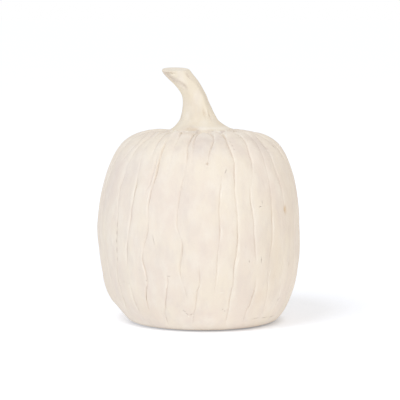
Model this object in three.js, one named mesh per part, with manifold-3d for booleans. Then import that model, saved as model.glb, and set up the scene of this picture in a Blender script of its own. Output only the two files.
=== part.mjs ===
// A hollow ceramic pumpkin figure: a furrowed body, a curved stem luted onto its crown with a bead of slip,
// and four self-adhesive felt pads in the recess under its foot.
// Millimetres, +Z up. The front faces -Y, the stem leans to -X, and the origin is on the table.
import * as THREE from "three";
import { mergeVertices } from "three/addons/utils/BufferGeometryUtils.js";
import Module from "manifold-3d";

const wasm = await Module();
wasm.setup();

// The body, measured over its ribs.
const BELLY_RADIUS = 75;
const BELLY_HEIGHT = 65;
const CROWN_HEIGHT = 140;
const CROWN_FLAT_RADIUS = 38; // where the shoulder's curve ends in the flat crown
const FOOT_RADIUS = 54;
const FOOT_BAND = { start: 3, end: 15 }; // the ribs fade into a plain band between these heights
const WALL = 5;
const SLUMP = { crown: 1.4, foot: 3.4 }; // how far the crown and the foot stand to the right of the belly

// The foot: a ring round a shallow recess, with the pour hole in its middle.
const RING_LIFT = 0.8; // the ring hangs this far above the table, on the pads
const RECESS_RADIUS = 48;
const RECESS_DEPTH = 2;
const POUR_HOLE_RADIUS = 15;

// The stem, its hollow, and the slip between its foot and the crown's vent.
const STEM_FOOT = { x: 2.5, radius: 22.5, rim: 0.8 };
const STEM_FLARE = { shift: -1, narrowing: 3.2, height: 2.6 };
const STEM_TOP = 186;
const STEM_TOP_TILT = THREE.MathUtils.degToRad(8); // the cut end leans to the front
const STEM_RIDGES = 5;
const STEM_RIDGE_DEPTH = 0.05; // of the stem's radius, at its top
const STEM_HOLLOW = { radius: 9, height: 17 };
const VENT_RADIUS = 7;
const LUTE_THICKNESS = 0.8;
const LUTE_BEAD = 1.2; // how far the slip stands out round the stem's foot

// The stem's middle line and its half thickness, from above the flare to past the cut.
const STEM_STATIONS = [
  { x: 0.3, z: 146, radius: 16.4 },
  { x: 0, z: 150, radius: 13.4 },
  { x: -1.5, z: 159, radius: 10.1 },
  { x: -3.2, z: 167, radius: 8.6 },
  { x: -9, z: 175.7, radius: 7.7 },
  { x: -16.2, z: 184.5, radius: 8.2 },
  { x: -26, z: 196, radius: 8.6 },
];

// The felt pads and their adhesive films.
const PAD_RADIUS = 7;
const PAD_CIRCLE = 37;
const ADHESIVE_RADIUS = 6.6;
const ADHESIVE_THICKNESS = 0.3;

// The furrows: each path's azimuth in degrees from the front, positive to the right, at four heights.
const PATH_HEIGHTS = [138, 115, 70, 12];
const FRONT_FURROWS = [
  [-60, -53, -52, -54],
  [-46, -40, -42, -42],
  [-30, -27, -31, -31],
  [-19, -18, -19, -20],
  [-10, -8, -9, -6],
  [16, 5, 1, -2],
  [21, 14, 11, 7],
  [26, 22, 22, 17],
  [46, 36, 32, 31],
  [54, 47, 45, 44],
  [60, 57, 56, 57],
  [68, 67, 68, 69],
];
const BACK_FURROW_COUNT = 19;
const BACK_WANDER = 2.2; // degrees
const FURROW_DEPTH = { crown: 1.7, foot: 0.9 };
const RIB_FALL = 0.5; // how far a rib has fallen away beside its furrow
const CROWN_DROP = 0.8; // the share of a furrow's depth that is cut downwards on the flat crown
const CROWN_ROUNDING = 20; // the height over which the shoulder turns into the crown

// How finely the surfaces are divided.
const COLUMNS_PER_RIB = 3;
const LOWER_STEPS = 9;
const UPPER_STEPS = 10;
const INNER_STEPS = 5;
const SHAFT_STEPS = 13;
const ROUND_STEPS = 24;

const { clamp, lerp, smoothstep } = THREE.MathUtils;

// Round the sides and the back the paths keep an even pitch, each with a wander of its own.
function furrowPaths() {
  const bellyLevel = 2;
  const first = FRONT_FURROWS[0][bellyLevel] + 360;
  const last = FRONT_FURROWS.at(-1)[bellyLevel];
  const pitch = (first - last) / (BACK_FURROW_COUNT + 1);
  const back = Array.from({ length: BACK_FURROW_COUNT }, (_, k) => {
    const wander = (level) => BACK_WANDER * Math.sin(2.4 * k + 1.7 * level);
    return PATH_HEIGHTS.map((_height, level) => last + pitch * (k + 1) + wander(level));
  });
  return [...FRONT_FURROWS, ...back];
}
const PATHS = furrowPaths();

// One path's azimuth at a height, turning smoothly between its given points.
function pathAzimuth(path, z) {
  const level = PATH_HEIGHTS.findIndex((height) => z >= height);
  if (level === 0) return path[0];
  if (level === -1) return path.at(-1);
  return lerp(path[level], path[level - 1], smoothstep(z, PATH_HEIGHTS[level], PATH_HEIGHTS[level - 1]));
}

// The body's columns: each path, and the lines that divide the rib to the right of it.
const COLUMNS = PATHS.flatMap((_path, index) =>
  Array.from({ length: COLUMNS_PER_RIB }, (_, step) => ({ index, share: step / COLUMNS_PER_RIB })),
);

function columnAngle({ index, share }, z) {
  const isLast = index + 1 === PATHS.length;
  const here = pathAzimuth(PATHS[index], z);
  const next = isLast ? pathAzimuth(PATHS[0], z) + 360 : pathAzimuth(PATHS[index + 1], z);
  return THREE.MathUtils.degToRad(lerp(here, next, share));
}

// How far the surface lies inside the plain body: most in a furrow, almost nothing along a rib's crest.
function carving({ share }, z) {
  const depth = lerp(FURROW_DEPTH.foot, FURROW_DEPTH.crown, clamp(z / CROWN_HEIGHT, 0, 1));
  return share === 0 ? depth + RIB_FALL : RIB_FALL * (2 * share - 1) ** 2;
}

// How far to the right of the belly the body's middle stands at a height.
function slump(z) {
  if (z >= BELLY_HEIGHT) return SLUMP.crown * ((z - BELLY_HEIGHT) / (CROWN_HEIGHT - BELLY_HEIGHT)) ** 2;
  return SLUMP.foot * ((BELLY_HEIGHT - z) / BELLY_HEIGHT) ** 2;
}

// The body's outline as (radius, height), in two curves that meet at the belly.
const LOWER_OUTLINE = new THREE.CubicBezierCurve(
  new THREE.Vector2(FOOT_RADIUS, RING_LIFT),
  new THREE.Vector2(FOOT_RADIUS + 5, RING_LIFT),
  new THREE.Vector2(BELLY_RADIUS, BELLY_HEIGHT - 51),
  new THREE.Vector2(BELLY_RADIUS, BELLY_HEIGHT),
);
const UPPER_OUTLINE = new THREE.CubicBezierCurve(
  new THREE.Vector2(BELLY_RADIUS, BELLY_HEIGHT),
  new THREE.Vector2(BELLY_RADIUS, BELLY_HEIGHT + 23),
  new THREE.Vector2(BELLY_RADIUS - 5, CROWN_HEIGHT),
  new THREE.Vector2(CROWN_FLAT_RADIUS, CROWN_HEIGHT),
);

// A point of an outline curve, one wall's thickness further in.
function innerPoint(curve, share) {
  const tangent = curve.getTangent(share);
  return curve.getPoint(share).add(new THREE.Vector2(-tangent.y, tangent.x).multiplyScalar(WALL));
}

// One turn round the wall's section: under the foot, up the outside, through the vent, down the inside.
// "carved" is the share of the furrows that a point takes.
function bodySection() {
  const section = [];
  const add = (radius, z, carved = 0) => section.push({ radius, z, carved });
  const recessTop = RING_LIFT + RECESS_DEPTH;
  add(POUR_HOLE_RADIUS, recessTop);
  add(RECESS_RADIUS, recessTop);
  add(RECESS_RADIUS, RING_LIFT);
  add(FOOT_RADIUS, RING_LIFT);
  for (let step = 1; step <= LOWER_STEPS; step++) {
    const { x, y } = LOWER_OUTLINE.getPoint(step / LOWER_STEPS);
    add(x, y, smoothstep(y, FOOT_BAND.start, FOOT_BAND.end));
  }
  for (let step = 1; step <= UPPER_STEPS; step++) {
    const { x, y } = UPPER_OUTLINE.getPoint(step / UPPER_STEPS);
    add(x, y, 1);
  }

  const seatRadius = STEM_FOOT.radius + LUTE_BEAD + 4; // flat under the whole foot, which stands off centre
  add(seatRadius + 3, CROWN_HEIGHT, 0.5);
  add(seatRadius, CROWN_HEIGHT);
  add(VENT_RADIUS, CROWN_HEIGHT);
  add(VENT_RADIUS, CROWN_HEIGHT - WALL);

  const floor = recessTop + WALL;
  for (let step = INNER_STEPS; step >= 0; step--) {
    const { x, y } = innerPoint(UPPER_OUTLINE, step / INNER_STEPS);
    add(x, y);
  }
  for (let step = INNER_STEPS - 1; step >= 1; step--) {
    const { x, y } = innerPoint(LOWER_OUTLINE, step / INNER_STEPS);
    add(x, Math.max(y, floor + 1));
  }
  add(FOOT_RADIUS - WALL, floor);
  add(POUR_HOLE_RADIUS, floor);
  return section;
}

// A surface through rings that have the same number of points. It is closed round every ring, and from the
// last ring either back to the first, or with a flat cap over each end.
function surfaceThrough(rings, { capped }) {
  const around = rings[0].length;
  const faces = [];
  const bands = capped ? rings.length - 1 : rings.length;
  for (let ring = 0; ring < bands; ring++) {
    const here = ring * around;
    const above = ((ring + 1) % rings.length) * around;
    for (let i = 0; i < around; i++) {
      const next = (i + 1) % around;
      faces.push(here + i, here + next, above + next);
      faces.push(here + i, above + next, above + i);
    }
  }
  if (capped) {
    const top = (rings.length - 1) * around;
    for (let i = 1; i < around - 1; i++) {
      faces.push(0, i + 1, i);
      faces.push(top, top + i, top + i + 1);
    }
  }
  const geometry = new THREE.BufferGeometry().setFromPoints(rings.flat());
  geometry.setIndex(faces);
  return geometry;
}

function bodyShell() {
  const rings = bodySection().map(({ radius, z, carved }) =>
    COLUMNS.map((column) => {
      const angle = columnAngle(column, z);
      const cut = carved * carving(column, z);
      const r = radius - cut;
      const drop = CROWN_DROP * cut * smoothstep(z, CROWN_HEIGHT - CROWN_ROUNDING, CROWN_HEIGHT);
      return new THREE.Vector3(slump(z) + r * Math.sin(angle), -r * Math.cos(angle), z - drop);
    }),
  );
  return surfaceThrough(rings, { capped: false });
}

const STEM_SEAT = CROWN_HEIGHT + LUTE_THICKNESS;
const STEM_LINE = new THREE.CatmullRomCurve3(STEM_STATIONS.map(({ x, z }) => new THREE.Vector3(x, 0, z)));

function stemRadius(share) {
  const place = share * (STEM_STATIONS.length - 1);
  const low = Math.min(STEM_STATIONS.length - 2, Math.floor(place));
  return lerp(STEM_STATIONS[low].radius, STEM_STATIONS[low + 1].radius, place - low);
}

function turnAngles() {
  return Array.from({ length: ROUND_STEPS }, (_, i) => (2 * Math.PI * i) / ROUND_STEPS);
}

function levelRing(x, z, radius) {
  const middle = new THREE.Vector3(x, 0, z);
  return turnAngles().map((angle) => {
    const spoke = new THREE.Vector3(Math.cos(angle), Math.sin(angle), 0);
    return middle.clone().addScaledVector(spoke, radius);
  });
}

// A ring square to the stem's middle line, with soft ridges that fade out towards the foot.
function stemRing(share) {
  const centre = STEM_LINE.getPoint(share);
  const along = STEM_LINE.getTangent(share);
  const across = new THREE.Vector3(0, 1, 0).cross(along).normalize();
  const ahead = along.clone().cross(across);
  const ridge = STEM_RIDGE_DEPTH * smoothstep(share, 0, 1);
  return turnAngles().map((angle) => {
    const radius = stemRadius(share) * (1 + ridge * Math.cos(STEM_RIDGES * angle));
    const spoke = across.clone().multiplyScalar(Math.cos(angle)).addScaledVector(ahead, Math.sin(angle));
    return centre.clone().addScaledVector(spoke, radius);
  });
}

// A closed geometry as a manifold-3d solid, and a solid as a geometry.
function toSolid(geometry) {
  const bare = new THREE.BufferGeometry();
  bare.setAttribute("position", geometry.getAttribute("position"));
  bare.setIndex(geometry.index);
  const merged = mergeVertices(bare, 1e-4);
  const vertProperties = merged.getAttribute("position").array;
  const triVerts = new Uint32Array(merged.index.array);
  return new wasm.Manifold(new wasm.Mesh({ numProp: 3, vertProperties, triVerts }));
}

function toGeometry(solid) {
  const { vertProperties, triVerts } = solid.getMesh();
  const geometry = new THREE.BufferGeometry();
  geometry.setAttribute("position", new THREE.BufferAttribute(vertProperties, 3));
  geometry.setIndex(new THREE.BufferAttribute(triVerts, 1));
  return geometry;
}

// Everything above the stem's cut end.
function offcut() {
  const size = 100;
  const block = new THREE.BoxGeometry(size, size, size);
  block.translate(0, 0, size / 2);
  block.rotateX(STEM_TOP_TILT);
  block.translate(0, 0, STEM_TOP);
  return toSolid(block);
}

// The hollow inside the stem's foot, open downwards onto the vent.
function stemHollow() {
  const { radius, height } = STEM_HOLLOW;
  const profile = [
    new THREE.Vector2(0, -1),
    new THREE.Vector2(radius, -1),
    new THREE.Vector2(radius, 2),
    new THREE.Vector2(radius - 3, height - 4),
    new THREE.Vector2(0, height),
  ];
  const hollow = new THREE.LatheGeometry(profile, ROUND_STEPS);
  hollow.rotateX(Math.PI / 2);
  hollow.translate(slump(CROWN_HEIGHT), 0, STEM_SEAT);
  return toSolid(hollow);
}

// The flared foot and the shaft in one loft, cut nearly level at the top and hollowed from below.
function stem() {
  const { x, radius, rim } = STEM_FOOT;
  const { shift, narrowing, height } = STEM_FLARE;
  const rings = [
    levelRing(x, STEM_SEAT, radius),
    levelRing(x, STEM_SEAT + rim, radius),
    levelRing(x + shift, STEM_SEAT + height, radius - narrowing),
  ];
  for (let step = 0; step <= SHAFT_STEPS; step++) rings.push(stemRing(step / SHAFT_STEPS));
  const loft = toSolid(surfaceThrough(rings, { capped: true }));
  return toGeometry(loft.subtract(offcut()).subtract(stemHollow()));
}

// The slip that fixes the stem: a thin washer between the clay faces, with a bead squeezed out round it.
function stemLute() {
  const inner = STEM_HOLLOW.radius;
  const outer = STEM_FOOT.radius;
  const profile = [
    new THREE.Vector2(inner, 0),
    new THREE.Vector2(outer + LUTE_BEAD * 0.7, 0),
    new THREE.Vector2(outer + LUTE_BEAD, LUTE_THICKNESS * 0.4),
    new THREE.Vector2(outer + LUTE_BEAD * 0.7, LUTE_THICKNESS * 0.9),
    new THREE.Vector2(outer, LUTE_THICKNESS),
    new THREE.Vector2(inner, LUTE_THICKNESS),
    new THREE.Vector2(inner, 0),
  ];
  return new THREE.LatheGeometry(profile, 2 * ROUND_STEPS).rotateX(Math.PI / 2);
}

function disc(radius, thickness) {
  return new THREE.CylinderGeometry(radius, radius, thickness, ROUND_STEPS).rotateX(Math.PI / 2);
}

function part(name, geometry, material, position = [0, 0, 0]) {
  geometry.computeVertexNormals();
  const mesh = new THREE.Mesh(geometry, material);
  mesh.name = name;
  mesh.position.set(...position);
  return mesh;
}

function ceramic(color) {
  return new THREE.MeshStandardMaterial({ color, roughness: 0.9, metalness: 0 });
}

const pumpkin = new THREE.Group();
pumpkin.add(part("body_shell", bodyShell(), ceramic("#f0e7da")));
pumpkin.add(part("stem_lute", stemLute(), ceramic("#f2e9dc"), [STEM_FOOT.x, 0, CROWN_HEIGHT]));
pumpkin.add(part("stem", stem(), ceramic("#efe6d9")));

// A pad under each corner of the recess, with its film between it and the clay.
const padThickness = RING_LIFT + RECESS_DEPTH - ADHESIVE_THICKNESS;
["front_right", "back_right", "back_left", "front_left"].forEach((corner, quarter) => {
  const angle = (quarter / 2 - 1 / 4) * Math.PI;
  const x = slump(0) + PAD_CIRCLE * Math.cos(angle);
  const y = PAD_CIRCLE * Math.sin(angle);

  const felt = new THREE.MeshStandardMaterial({ color: "#d9d3c8", roughness: 1, metalness: 0 });
  const padPlace = [x, y, padThickness / 2];
  pumpkin.add(part(`felt_pad_${corner}`, disc(PAD_RADIUS, padThickness), felt, padPlace));

  const film = new THREE.MeshStandardMaterial({ color: "#eceae4", roughness: 0.5, metalness: 0 });
  const filmPlace = [x, y, padThickness + ADHESIVE_THICKNESS / 2];
  pumpkin.add(part(`pad_adhesive_${corner}`, disc(ADHESIVE_RADIUS, ADHESIVE_THICKNESS), film, filmPlace));
});

export default pumpkin;
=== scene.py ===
"""Looks of the ceramic pumpkin figure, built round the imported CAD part.

Shapes are worked out in millimetres in the CAD frame (the front faces -Y, +Z is up) and turn into metres
when their mesh is made. Azimuths are degrees from the front, positive to the right.
"""

import math

import bpy
import numpy as np
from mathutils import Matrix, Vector


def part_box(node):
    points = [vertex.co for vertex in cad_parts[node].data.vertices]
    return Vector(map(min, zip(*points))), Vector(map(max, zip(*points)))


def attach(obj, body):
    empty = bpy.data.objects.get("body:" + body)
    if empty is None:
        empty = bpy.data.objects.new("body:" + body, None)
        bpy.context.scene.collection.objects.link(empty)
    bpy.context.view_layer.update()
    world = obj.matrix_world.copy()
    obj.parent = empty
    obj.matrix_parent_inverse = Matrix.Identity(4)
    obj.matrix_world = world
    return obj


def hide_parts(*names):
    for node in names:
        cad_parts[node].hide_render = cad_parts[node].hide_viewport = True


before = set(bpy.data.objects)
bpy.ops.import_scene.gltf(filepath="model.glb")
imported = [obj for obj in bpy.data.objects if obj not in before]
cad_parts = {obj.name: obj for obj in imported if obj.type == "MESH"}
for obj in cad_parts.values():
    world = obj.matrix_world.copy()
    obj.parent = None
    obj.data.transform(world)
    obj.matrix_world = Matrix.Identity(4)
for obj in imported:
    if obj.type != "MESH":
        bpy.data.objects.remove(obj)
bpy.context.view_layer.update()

MM = 0.001
SEED = 31


def node_box(node):
    """A CAD node's lowest and highest corners in millimetres."""
    low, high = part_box(node)
    return np.array(low) / MM, np.array(high) / MM


# ---- Sizes ----

BODY_LOW, BODY_HIGH = node_box("body_shell")
LUTE_LOW, LUTE_HIGH = node_box("stem_lute")

BELLY_RADIUS = (BODY_HIGH[0] - BODY_LOW[0]) / 2
BELLY_HEIGHT = 65
CROWN_HEIGHT = BODY_HIGH[2]
CROWN_FLAT_RADIUS = 38  # where the shoulder's curve ends in the flat crown
CROWN_INNER_RADIUS = 18  # furrows and ribs run in to here, under the stem's foot
FOOT_HEIGHT = BODY_LOW[2]
FOOT_RADIUS = 53
SLUMP_CROWN = 1.4  # how far the crown's middle stands to the right of the belly's
SLUMP_FOOT = 3.4  # and the foot's
WALL = 5
RECESS_RADIUS = 48
RECESS_DEPTH = 2
POUR_HOLE_RADIUS = 15
VENT_RADIUS = 7

STEM_X = (LUTE_LOW[0] + LUTE_HIGH[0]) / 2
STEM_SEAT = node_box("stem")[0][2]


# ---- Curves and meshes ----


def smooth_through(x, knots, values):
    """A smooth curve through the given values, held level past its first and last knot."""
    knots = np.asarray(knots, float)
    values = np.asarray(values, float)
    slopes = np.gradient(values, knots)
    x = np.clip(x, knots[0], knots[-1])
    i = np.clip(np.searchsorted(knots, x) - 1, 0, len(knots) - 2)
    step = knots[i + 1] - knots[i]
    t = (x - knots[i]) / step
    rise = values[i + 1] - values[i]
    bend_in = slopes[i] * step - rise
    bend_out = rise - slopes[i + 1] * step
    return values[i] + t * rise + t * (1 - t) * ((1 - t) * bend_in + t * bend_out)


def eased(values, rounds=12):
    """The values with their small kinks averaged out."""
    for _round in range(rounds):
        values = np.convolve(np.pad(values, 1, mode="edge"), [0.25, 0.5, 0.25], mode="valid")
    return values


def smoothstep(x, low, high):
    t = np.clip((x - low) / (high - low), 0, 1)
    return t * t * (3 - 2 * t)


def bell(x, width):
    return np.exp(-((x / width) ** 2))


def bezier(points, count):
    a, b, c, d = np.array(points, float)
    t = np.linspace(0, 1, count)[:, None]
    return (1 - t) ** 3 * a + 3 * (1 - t) ** 2 * t * b + 3 * (1 - t) * t**2 * c + t**3 * d


def unsteady(start, rng, along, waves):
    """A line that starts from a plain value and has the waves of an unsteady hand.

    Each wave is (height, shortest, longest). Its length is the distance for one radian of the wave.
    """
    total = np.full(along.shape, float(start))
    for height, shortest, longest in waves:
        total += height * np.sin(along / rng.uniform(shortest, longest) + rng.uniform(0, 6.3))
    return total


def circle(radius, azimuth, z, x=0):
    """Points at these azimuths round an upright axis. The radius and the height may be one for each."""
    angle = np.radians(azimuth)
    height = np.broadcast_to(np.asarray(z, float), angle.shape)
    return np.stack([x + radius * np.sin(angle), -radius * np.cos(angle), height], -1)


def spots(table, azimuth, height, girth):
    """The sum of a table's soft spots, on a surface whose radius is about the girth.

    A spot is (azimuth, height, half width, half height, amount), in degrees and millimetres.
    """
    total = np.zeros(np.broadcast(azimuth, height).shape)
    for spot_azimuth, spot_height, half_width, half_height, amount in table:
        turn = (azimuth - spot_azimuth + 180) % 360 - 180
        across = np.radians(turn) * girth
        total += amount * bell(across, half_width) * bell(height - spot_height, half_height)
    return total


def filleted(points, radius, steps=3):
    """A polyline with its inner corners rounded."""
    points = [np.array(p, float) for p in points]
    rounded = [points[0]]
    for before, corner, after in zip(points, points[1:], points[2:]):
        towards = before - corner
        away = after - corner
        reach = min(radius, np.linalg.norm(towards) / 2.2, np.linalg.norm(away) / 2.2)
        start = corner + towards / np.linalg.norm(towards) * reach
        end = corner + away / np.linalg.norm(away) * reach
        for t in np.linspace(0, 1, steps + 1):
            rounded.append((1 - t) ** 2 * start + 2 * t * (1 - t) * corner + t**2 * end)
    rounded.append(points[-1])
    return np.array(rounded)


def ring_mesh(name, rings, joined=False, values=None):
    """A piece through rings of points in millimetres, shaped (ring, point, 3), all closed round.

    The last ring joins the first, or each end closes onto its own middle point.
    """
    count, around = rings.shape[:2]
    points = rings.reshape(-1, 3)
    ring = np.arange(count if joined else count - 1)[:, None]
    i = np.arange(around)[None, :]
    here, above = ring * around, (ring + 1) % count * around
    following = (i + 1) % around
    quads = np.stack([here + i, here + following, above + following, above + i], -1).reshape(-1, 4)
    faces = quads.tolist()
    if not joined:
        last = (count - 1) * around
        middles = np.array([rings[0].mean(0), rings[-1].mean(0)])
        first_middle = len(points)
        points = np.vstack([points, middles])
        sides = [(j, (j + 1) % around) for j in range(around)]
        faces += [[first_middle, k, j] for j, k in sides]
        faces += [[first_middle + 1, last + j, last + k] for j, k in sides]
    mesh = bpy.data.meshes.new(name)
    mesh.from_pydata((points * MM).tolist(), [], faces)
    for attribute, amounts in (values or {}).items():
        flat = np.zeros(len(points))
        flat[: amounts.size] = amounts.ravel()
        mesh.attributes.new(attribute, "FLOAT", "POINT").data.foreach_set("value", flat)
    mesh.shade_smooth()
    piece = bpy.data.objects.new(name, mesh)
    bpy.context.scene.collection.objects.link(piece)
    return piece


class Ripple:
    """Smooth random relief between about -1 and 1: waves that cross each other in every direction."""

    def __init__(self, rng, wavelength, stretch=(1, 1, 1), waves=14):
        directions = rng.normal(size=(waves, 3))
        directions /= np.linalg.norm(directions, axis=1)[:, None]
        lengths = wavelength * rng.uniform(0.7, 1.6, waves)
        self.vectors = directions / lengths[:, None] * 2 * np.pi / np.array(stretch)
        self.phases = rng.uniform(0, 2 * np.pi, waves)
        self.gain = 1.5 / math.sqrt(waves)

    def __call__(self, points):
        total = np.zeros(points.shape[:-1])
        for vector, phase in zip(self.vectors, self.phases):
            total += np.sin(points @ vector + phase)
        return total * self.gain


# ---- Furrows ----
# Each is a list of (height, azimuth, depth). A depth of 1 is a full cut, and 0 leaves the rib whole.
# Heights above the crown's run inwards over its flat top: 12 above it is 12 mm inside the flat's edge.

FRONT_FURROWS = [
    # the left edge and shoulder
    [(152, -84, 0), (140, -70, 0.5), (137, -57, 0.8), (131, -57, 0.9), (126, -59, 0.6), (118, -61, 0.1),
     (100, -62, 0), (80, -63, 0.3), (60, -63, 0.5), (40, -63, 0.5), (20, -62, 0.3), (8, -62, 0)],
    [(152, -72, 0), (143, -58, 0.3), (139, -49, 0.7), (133, -52, 0.9), (128, -52, 0.7), (121, -52, 0.3),
     (114, -52, 0.3), (109, -52, 1), (102, -53, 1), (90, -52, 0.6), (78, -51, 0.5), (62, -51, 0.5),
     (54, -51, 0.2), (47, -53, 0.3), (41, -54, 0.8), (33, -54, 1.1), (21, -54.5, 1.2), (13, -56, 0.7),
     (7, -57, 0)],
    [(152, -60, 0), (140, -46, 0.1), (134, -43, 0.2), (124, -42, 0.2), (115, -40.5, 0.5),
     (107, -39.5, 1.3), (98, -40, 1.6), (91, -41, 1.4), (79, -41, 1.1), (67, -42, 0.7), (61, -43.5, 1.1),
     (52, -44, 1), (46, -44, 0.1), (38, -43.5, 0), (31, -43.5, 0.5), (25, -43.8, 1), (17, -43.5, 1),
     (13, -43, 0.3), (7, -43, 0)],
    [(152, -48, 0), (140, -38, 0.3), (136, -35, 0.8), (130, -34, 0.7), (124, -34, 0.2), (110, -35.5, 0),
     (90, -37, 0), (70, -38, 0), (48, -37, 0.1), (36, -38, 0.1), (22, -39, 0.1), (8, -39, 0)],
    [(152, -42, 0), (138, -32, 0), (128, -29.5, 0.1), (122, -29.2, 0.7), (115, -29.3, 0.8),
     (108, -30, 0.7), (102, -31, 0.3), (94, -32.5, 0), (70, -34.5, 0), (40, -33.5, 0), (8, -34.5, 0)],
    # the long furrow left of the middle
    [(152, -37, 0), (142, -31, 0.1), (137, -28.5, 0.3), (131, -27.3, 0.9), (125, -27, 1.2),
     (113, -27, 1.2), (104, -28.2, 1.1), (92, -29, 1), (86, -29, 0.5), (80, -28.6, 0.2), (75, -28.6, 0.9),
     (69, -30, 1), (60, -31.5, 0.7), (53, -33.3, 1), (48, -32, 1.1), (42, -30.2, 0.8), (37, -30.7, 1.1),
     (31, -32, 1.1), (26, -34, 1.2), (20, -34.5, 1), (15, -34, 0.2), (7, -34, 0)],
    [(152, -25, 0), (140, -20, 0.2), (132, -19, 0.4), (122, -19, 0.3), (112, -19, 0.1), (90, -20.5, 0),
     (70, -21, 0), (52, -18, 0), (44, -17.4, 0.1), (40, -17.6, 0.9), (29, -19.2, 1.1), (20, -21.6, 1.1),
     (13, -23.6, 0.9), (7, -24.2, 0.7), (4, -24.5, 0)],
    [(152, -1, 0.3), (148, -3, 0.8), (143, -6, 1), (139, -8, 1), (134, -9, 1.1), (127, -8, 1),
     (121, -8, 0.5), (115, -8.6, 0.2), (111, -9.2, 0.5), (106, -10, 0.8), (95, -11, 0.9), (88, -12, 0.7),
     (79, -12, 0.7), (73, -11, 0.5), (69.5, -8.5, 0.1), (66, -7.2, 0.9), (59, -8.4, 1.2), (51, -10.6, 1),
     (43, -10, 0.7), (37, -8.4, 0.3), (31, -7.8, 0.5), (24, -6.8, 0.1), (17, -9, 0), (5, -12, 0)],
    [(152, 3, 0), (146, 0, 0.3), (141, -3, 0.6), (137, -4.4, 0.6), (133, -4.6, 0.5), (127, -4.4, 0.3),
     (120, -4, 0), (90, -3, 0), (60, -1, 0), (49, 0.5, 0.2), (44, 0.6, 0.8), (38, 0.3, 0.9),
     (30, -1.2, 0.9), (21, -2.8, 0.9), (15, -4.5, 0.8), (10, -6, 0.4), (6, -6.5, 0)],
    # the short furrow on the crown, which ends in a pit
    [(152, 6, 0.4), (148, 10.5, 0.9), (143, 14, 1.1), (140, 13.8, 1.1), (137, 11.4, 1.1), (132, 8, 1.1),
     (127, 6.2, 0.8), (124, 5.5, 0.5), (121.5, 5.2, 0.3), (118, 5.4, 0), (90, 4, 0), (60, 4.5, 0),
     (5, 3, 0)],
    [(152, 19, 0), (143, 22, 0), (139, 19.5, 0), (134, 16.5, 0), (122, 14, 0.1), (112, 13.3, 0.2),
     (107, 13, 0.7), (97, 12, 0.8), (86, 11.3, 1), (72, 11.9, 1), (64, 11.5, 0.6), (58, 10.2, 0.7),
     (47, 10, 0.8), (35, 9, 0.5), (28, 8.6, 0), (5, 8, 0)],
    # the strongest furrow, right of the middle
    [(152, 29, 0.2), (146, 29, 0.8), (141, 26, 1.2), (137, 23, 1.4), (133, 21, 1.4), (128, 23, 1.3),
     (121, 23, 1.3), (113, 22, 1.2), (104, 21, 1.1), (97, 21, 0.9), (91, 21.5, 0.6), (86, 22, 0.9),
     (76, 22, 1.1), (66, 22, 1.2), (58, 21, 1.3), (50, 20, 1.3), (44, 19.3, 0.9), (41, 20, 0.8),
     (33, 19, 1.1), (22, 17, 1.1), (13, 17, 0.9), (8, 16, 0.6), (4, 15.5, 0)],
    [(152, 46, 0.3), (146, 46, 0.8), (141, 43, 1.1), (137, 39.5, 1.2), (134, 38, 1.3), (126, 36, 1.2),
     (121, 36, 0.9), (116, 35, 0.3), (110, 33, 0.1), (104, 31.5, 0.4), (100, 31, 0.8), (92, 31, 1),
     (83, 32, 1.1), (71, 32, 1), (60, 33, 0.8), (53, 33, 0.3), (49, 33, 0), (41, 33.7, 0), (37.5, 34, 0.5),
     (29, 34.3, 1.1), (21, 31.8, 1.3), (14, 29.3, 1.1), (8, 29, 0.4), (5, 29, 0)],
    [(152, 68, 0), (143, 58, 0.4), (138, 52, 0.5), (132, 48, 0.5), (120, 46, 0.3), (105, 46, 0.4),
     (99, 46, 0.9), (89, 46, 1.2), (78, 45.5, 1.3), (67, 45, 1.1), (55, 44, 0.5), (47, 42, 0.2),
     (41, 42, 0.5), (26, 43.5, 0.6), (16, 44, 0.6), (10, 44, 0.2), (7, 44, 0)],
    [(152, 80, 0.2), (143, 69, 0.6), (138, 61, 0.8), (133, 57.5, 1), (130, 57.5, 1), (122, 55, 0.8),
     (114, 54.5, 0.7), (108, 56.5, 1), (100, 57, 0.8), (93, 57, 0.7), (87, 57, 0.3), (80, 56.5, 0),
     (60, 55, 0), (48, 55, 0.3), (30, 56, 0.4), (14, 56, 0.3), (8, 56, 0)],
    [(152, 92, 0), (143, 80, 0.6), (138, 72, 0.9), (131, 72, 0.9), (125, 74, 0.8), (119, 73, 0.5),
     (108, 71, 0.2), (90, 70, 0.3), (70, 69, 0.5), (50, 69, 0.4), (30, 68, 0.5), (12, 68, 0.2), (7, 68, 0)],
]
FIRST_AZIMUTH = -63  # of the front's first and last furrow, at half height
LAST_AZIMUTH = 69
BACK_FURROW_COUNT = 24
BACK_HEIGHTS = [152, 143, 138, 131, 122, 112, 101, 90, 79, 68, 57, 46, 35, 24, 14, 7]

PATH_WAVES = [(0.14, 3.5, 6), (0.09, 1.4, 2.4)]  # degrees to either side, for unsteady()
DEPTH_WAVES = [(0.2, 2.5, 5)]  # share of the depth
BURR_WAVES = [(0.6, 4, 8), (0.35, 1.2, 2.5)]  # the same, for the burr's height
BURR_MEAN = 0.45
BURR_MOST = 1.2
BOLD = {"furrows": (2, 11, 12), "burr": 0.7}  # these have a burr nearly all along

CUT_DEPTH = 0.5
STEEP_SIDE = 0.3  # half widths of the cut: its two walls aren't alike
EASY_SIDE = 0.6
VALLEY = {"depth": 0.15, "half_width": 1.8}  # the hollow close round the cut
BROAD_VALLEY_SHARE = 0.3  # half width of the broad hollow round it, as a share of the rib's width
BROAD_VALLEY = ([0, 10, 40, 100, 128, 138], [0, 0.25, 0.2, 0.25, 0.7, 0.9])  # heights, and its depth there
BURR_HEIGHT = 0.16  # the tool has pushed up a burr on the easy side, away from the front
BURR_DISTANCE = 1.1
BURR_HALF_WIDTH = 0.5
SHADE_LINE_WIDTH = 0.42  # half width of the painted shade line along a furrow

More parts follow.
